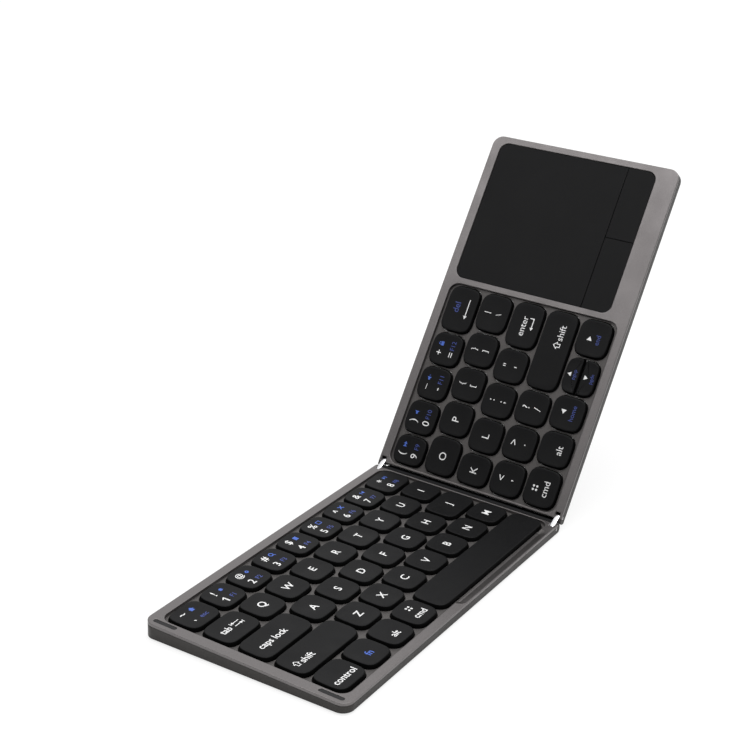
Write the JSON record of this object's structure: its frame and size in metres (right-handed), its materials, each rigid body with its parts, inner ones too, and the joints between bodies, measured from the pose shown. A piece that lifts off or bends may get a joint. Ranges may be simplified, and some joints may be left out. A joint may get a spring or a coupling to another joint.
{
  "type": "folding keyboard",
  "caption": "Book-style folding keyboard in two wedge-shaped metal halves joined by a double-pivot hinge, with low keys and a touchpad with its own buttons.",
  "frame": {"origin": "centre of the lying half's underside, on its metal bottom plate; the rubber feet reach below it", "axes": "+X along the lying half from its outer end to the hinge, +Y from the space bar to the number row, +Z square to the underside; the other half stands folded up 55.3 degrees from flat about the hinge at +X"},
  "size_m": [0.2734, 0.1017, 0.1479],
  "materials": {
    "case_metal": "matte anodised, warm grey",
    "plate_steel": "bright rolled",
    "lever_plastic": "natural, matte",
    "touch_glass": "fine satin",
    "button_plastic": "fine satin",
    "hinge_chrome": "polished",
    "hinge_steel": "ground",
    "spine_plastic": "matte black",
    "cable_film": "matte black film",
    "battery_wrap": "matte foil",
    "board": "green solder mask",
    "socket_steel": "drawn",
    "pad_rubber": "matte black",
    "magnet_steel": "nickel plated",
    "screw_steel": "blackened",
    "keycap": "fine matte, dark grey"
  },
  "bodies": {
    "left_half": {"left_top_cover": "case_metal", "left_bottom_cover": "case_metal", "left_key_plate": "plate_steel", "left_scissors": "lever_plastic", "battery": "battery_wrap", "end_bumpers": "pad_rubber", "left_feet": "pad_rubber", "left_magnets": "magnet_steel", "left_screws": "screw_steel"},
    "hinge_link": {"hinge_links": "hinge_chrome", "hinge_pins": "hinge_steel", "hinge_spine": "spine_plastic", "flex_cable": "cable_film"},
    "right_half": {"right_top_cover": "case_metal", "right_bottom_cover": "case_metal", "right_key_plate": "plate_steel", "right_scissors": "lever_plastic", "touchpad": "touch_glass", "controller_board": "board", "charging_socket": "socket_steel", "right_feet": "pad_rubber", "right_magnets": "magnet_steel", "right_screws": "screw_steel"},
    "key_a": {"key_a": "keycap"},
    "key_b": {"key_b": "keycap"},
    "key_c": {"key_c": "keycap"},
    "key_d": {"key_d": "keycap"},
    "key_e": {"key_e": "keycap"},
    "key_f": {"key_f": "keycap"},
    "key_g": {"key_g": "keycap"},
    "key_h": {"key_h": "keycap"},
    "key_i": {"key_i": "keycap"},
    "key_j": {"key_j": "keycap"},
    "key_m": {"key_m": "keycap"},
    "key_n": {"key_n": "keycap"},
    "key_q": {"key_q": "keycap"},
    "key_r": {"key_r": "keycap"},
    "key_s": {"key_s": "keycap"},
    "key_t": {"key_t": "keycap"},
    "key_u": {"key_u": "keycap"},
    "key_v": {"key_v": "keycap"},
    "key_w": {"key_w": "keycap"},
    "key_x": {"key_x": "keycap"},
    "key_y": {"key_y": "keycap"},
    "key_z": {"key_z": "keycap"},
    "left_number_keys": {"left_number_keys": "keycap"},
    "left_modifier_keys": {"left_modifier_keys": "keycap"},
    "left_shift_key": {"left_shift_key": "keycap"},
    "space_bar": {"space_bar": "keycap"},
    "key_k": {"key_k": "keycap"},
    "key_l": {"key_l": "keycap"},
    "key_o": {"key_o": "keycap"},
    "key_p": {"key_p": "keycap"},
    "symbol_keys": {"symbol_keys": "keycap"},
    "right_shift_key": {"right_shift_key": "keycap"},
    "enter_key": {"enter_key": "keycap"},
    "delete_key": {"delete_key": "keycap"},
    "navigation_keys": {"navigation_keys": "keycap"},
    "touchpad_left_button": {"touchpad_left_button": "button_plastic"},
    "touchpad_right_button": {"touchpad_right_button": "button_plastic"}
  },
  "joints": [
    {"name": "left_pivot", "type": "hinge", "parent": "left_half", "child": "hinge_link", "pos_m": [0.0836, -0.00009, 0.00345], "axis": [0, -0.9996, -0.0265], "range_deg": [-27.65, 62.35], "deforming": ["flex_cable"]},
    {"name": "right_pivot", "type": "hinge", "parent": "hinge_link", "child": "right_half", "pos_m": [0.08945, -0.00017, 0.00651], "axis": [0, -0.9996, -0.0265], "range_deg": [-27.65, 62.35]},
    {"name": "key_a_press", "type": "slide", "parent": "left_half", "child": "key_a", "axis": [0, 0.0265, -0.9996], "range_m": [0, 0.0012], "stiffness_N_per_m": 400, "springref_m": -0.00088, "deforming": ["left_scissors"]},
    {"name": "key_b_press", "type": "slide", "parent": "left_half", "child": "key_b", "axis": [0, 0.0265, -0.9996], "range_m": [0, 0.0012], "stiffness_N_per_m": 400, "springref_m": -0.00088, "deforming": ["left_scissors"]},
    {"name": "key_c_press", "type": "slide", "parent": "left_half", "child": "key_c", "axis": [0, 0.0265, -0.9996], "range_m": [0, 0.0012], "stiffness_N_per_m": 400, "springref_m": -0.00088, "deforming": ["left_scissors"]},
    {"name": "key_d_press", "type": "slide", "parent": "left_half", "child": "key_d", "axis": [0, 0.0265, -0.9996], "range_m": [0, 0.0012], "stiffness_N_per_m": 400, "springref_m": -0.00088, "deforming": ["left_scissors"]},
    {"name": "key_e_press", "type": "slide", "parent": "left_half", "child": "key_e", "axis": [0, 0.0265, -0.9996], "range_m": [0, 0.0012], "stiffness_N_per_m": 400, "springref_m": -0.00088, "deforming": ["left_scissors"]},
    {"name": "key_f_press", "type": "slide", "parent": "left_half", "child": "key_f", "axis": [0, 0.0265, -0.9996], "range_m": [0, 0.0012], "stiffness_N_per_m": 400, "springref_m": -0.00088, "deforming": ["left_scissors"]},
    {"name": "key_g_press", "type": "slide", "parent": "left_half", "child": "key_g", "axis": [0, 0.0265, -0.9996], "range_m": [0, 0.0012], "stiffness_N_per_m": 400, "springref_m": -0.00088, "deforming": ["left_scissors"]},
    {"name": "key_h_press", "type": "slide", "parent": "left_half", "child": "key_h", "axis": [0, 0.0265, -0.9996], "range_m": [0, 0.0012], "stiffness_N_per_m": 400, "springref_m": -0.00088, "deforming": ["left_scissors"]},
    {"name": "key_i_press", "type": "slide", "parent": "left_half", "child": "key_i", "axis": [0, 0.0265, -0.9996], "range_m": [0, 0.0012], "stiffness_N_per_m": 400, "springref_m": -0.00088, "deforming": ["left_scissors"]},
    {"name": "key_j_press", "type": "slide", "parent": "left_half", "child": "key_j", "axis": [0, 0.0265, -0.9996], "range_m": [0, 0.0012], "stiffness_N_per_m": 400, "springref_m": -0.00088, "deforming": ["left_scissors"]},
    {"name": "key_m_press", "type": "slide", "parent": "left_half", "child": "key_m", "axis": [0, 0.0265, -0.9996], "range_m": [0, 0.0012], "stiffness_N_per_m": 400, "springref_m": -0.00088, "deforming": ["left_scissors"]},
    {"name": "key_n_press", "type": "slide", "parent": "left_half", "child": "key_n", "axis": [0, 0.0265, -0.9996], "range_m": [0, 0.0012], "stiffness_N_per_m": 400, "springref_m": -0.00088, "deforming": ["left_scissors"]},
    {"name": "key_q_press", "type": "slide", "parent": "left_half", "child": "key_q", "axis": [0, 0.0265, -0.9996], "range_m": [0, 0.0012], "stiffness_N_per_m": 400, "springref_m": -0.00088, "deforming": ["left_scissors"]},
    {"name": "key_r_press", "type": "slide", "parent": "left_half", "child": "key_r", "axis": [0, 0.0265, -0.9996], "range_m": [0, 0.0012], "stiffness_N_per_m": 400, "springref_m": -0.00088, "deforming": ["left_scissors"]},
    {"name": "key_s_press", "type": "slide", "parent": "left_half", "child": "key_s", "axis": [0, 0.0265, -0.9996], "range_m": [0, 0.0012], "stiffness_N_per_m": 400, "springref_m": -0.00088, "deforming": ["left_scissors"]},
    {"name": "key_t_press", "type": "slide", "parent": "left_half", "child": "key_t", "axis": [0, 0.0265, -0.9996], "range_m": [0, 0.0012], "stiffness_N_per_m": 400, "springref_m": -0.00088, "deforming": ["left_scissors"]},
    {"name": "key_u_press", "type": "slide", "parent": "left_half", "child": "key_u", "axis": [0, 0.0265, -0.9996], "range_m": [0, 0.0012], "stiffness_N_per_m": 400, "springref_m": -0.00088, "deforming": ["left_scissors"]},
    {"name": "key_v_press", "type": "slide", "parent": "left_half", "child": "key_v", "axis": [0, 0.0265, -0.9996], "range_m": [0, 0.0012], "stiffness_N_per_m": 400, "springref_m": -0.00088, "deforming": ["left_scissors"]},
    {"name": "key_w_press", "type": "slide", "parent": "left_half", "child": "key_w", "axis": [0, 0.0265, -0.9996], "range_m": [0, 0.0012], "stiffness_N_per_m": 400, "springref_m": -0.00088, "deforming": ["left_scissors"]},
    {"name": "key_x_press", "type": "slide", "parent": "left_half", "child": "key_x", "axis": [0, 0.0265, -0.9996], "range_m": [0, 0.0012], "stiffness_N_per_m": 400, "springref_m": -0.00088, "deforming": ["left_scissors"]},
    {"name": "key_y_press", "type": "slide", "parent": "left_half", "child": "key_y", "axis": [0, 0.0265, -0.9996], "range_m": [0, 0.0012], "stiffness_N_per_m": 400, "springref_m": -0.00088, "deforming": ["left_scissors"]},
    {"name": "key_z_press", "type": "slide", "parent": "left_half", "child": "key_z", "axis": [0, 0.0265, -0.9996], "range_m": [0, 0.0012], "stiffness_N_per_m": 400, "springref_m": -0.00088, "deforming": ["left_scissors"]},
    {"name": "left_number_keys_press", "type": "slide", "parent": "left_half", "child": "left_number_keys", "axis": [0, 0.0265, -0.9996], "range_m": [0, 0.0012], "stiffness_N_per_m": 400, "springref_m": -0.00088, "deforming": ["left_scissors"]},
    {"name": "left_modifier_keys_press", "type": "slide", "parent": "left_half", "child": "left_modifier_keys", "axis": [0, 0.0265, -0.9996], "range_m": [0, 0.0012], "stiffness_N_per_m": 400, "springref_m": -0.00088, "deforming": ["left_scissors"]},
    {"name": "left_shift_key_press", "type": "slide", "parent": "left_half", "child": "left_shift_key", "axis": [0, 0.0265, -0.9996], "range_m": [0, 0.0012], "stiffness_N_per_m": 400, "springref_m": -0.00088, "deforming": ["left_scissors"]},
    {"name": "space_bar_press", "type": "slide", "parent": "left_half", "child": "space_bar", "axis": [0, 0.0265, -0.9996], "range_m": [0, 0.0012], "stiffness_N_per_m": 400, "springref_m": -0.00088, "deforming": ["left_scissors"]},
    {"name": "key_k_press", "type": "slide", "parent": "right_half", "child": "key_k", "axis": [0.8221, 0.0151, -0.5691], "range_m": [0, 0.0012], "stiffness_N_per_m": 400, "springref_m": -0.00088, "deforming": ["right_scissors"]},
    {"name": "key_l_press", "type": "slide", "parent": "right_half", "child": "key_l", "axis": [0.8221, 0.0151, -0.5691], "range_m": [0, 0.0012], "stiffness_N_per_m": 400, "springref_m": -0.00088, "deforming": ["right_scissors"]},
    {"name": "key_o_press", "type": "slide", "parent": "right_half", "child": "key_o", "axis": [0.8221, 0.0151, -0.5691], "range_m": [0, 0.0012], "stiffness_N_per_m": 400, "springref_m": -0.00088, "deforming": ["right_scissors"]},
    {"name": "key_p_press", "type": "slide", "parent": "right_half", "child": "key_p", "axis": [0.8221, 0.0151, -0.5691], "range_m": [0, 0.0012], "stiffness_N_per_m": 400, "springref_m": -0.00088, "deforming": ["right_scissors"]},
    {"name": "symbol_keys_press", "type": "slide", "parent": "right_half", "child": "symbol_keys", "axis": [0.8221, 0.0151, -0.5691], "range_m": [0, 0.0012], "stiffness_N_per_m": 400, "springref_m": -0.00088, "deforming": ["right_scissors"]},
    {"name": "right_shift_key_press", "type": "slide", "parent": "right_half", "child": "right_shift_key", "axis": [0.8221, 0.0151, -0.5691], "range_m": [0, 0.0012], "stiffness_N_per_m": 400, "springref_m": -0.00088, "deforming": ["right_scissors"]},
    {"name": "enter_key_press", "type": "slide", "parent": "right_half", "child": "enter_key", "axis": [0.8221, 0.0151, -0.5691], "range_m": [0, 0.0012], "stiffness_N_per_m": 400, "springref_m": -0.00088, "deforming": ["right_scissors"]},
    {"name": "delete_key_press", "type": "slide", "parent": "right_half", "child": "delete_key", "axis": [0.8221, 0.0151, -0.5691], "range_m": [0, 0.0012], "stiffness_N_per_m": 400, "springref_m": -0.00088, "deforming": ["right_scissors"]},
    {"name": "navigation_keys_press", "type": "slide", "parent": "right_half", "child": "navigation_keys", "axis": [0.8221, 0.0151, -0.5691], "range_m": [0, 0.0012], "stiffness_N_per_m": 400, "springref_m": -0.00088, "deforming": ["right_scissors"]},
    {"name": "touchpad_left_button_press", "type": "slide", "parent": "right_half", "child": "touchpad_left_button", "axis": [0.8221, 0.0151, -0.5691], "range_m": [0, 0.0003], "stiffness_N_per_m": 2000, "springref_m": -0.00017},
    {"name": "touchpad_right_button_press", "type": "slide", "parent": "right_half", "child": "touchpad_right_button", "axis": [0.8221, 0.0151, -0.5691], "range_m": [0, 0.0003], "stiffness_N_per_m": 2000, "springref_m": -0.00017}
  ],
  "couplings": [
    {"joint": "right_pivot", "follows": "left_pivot", "ratio": 1}
  ]
}
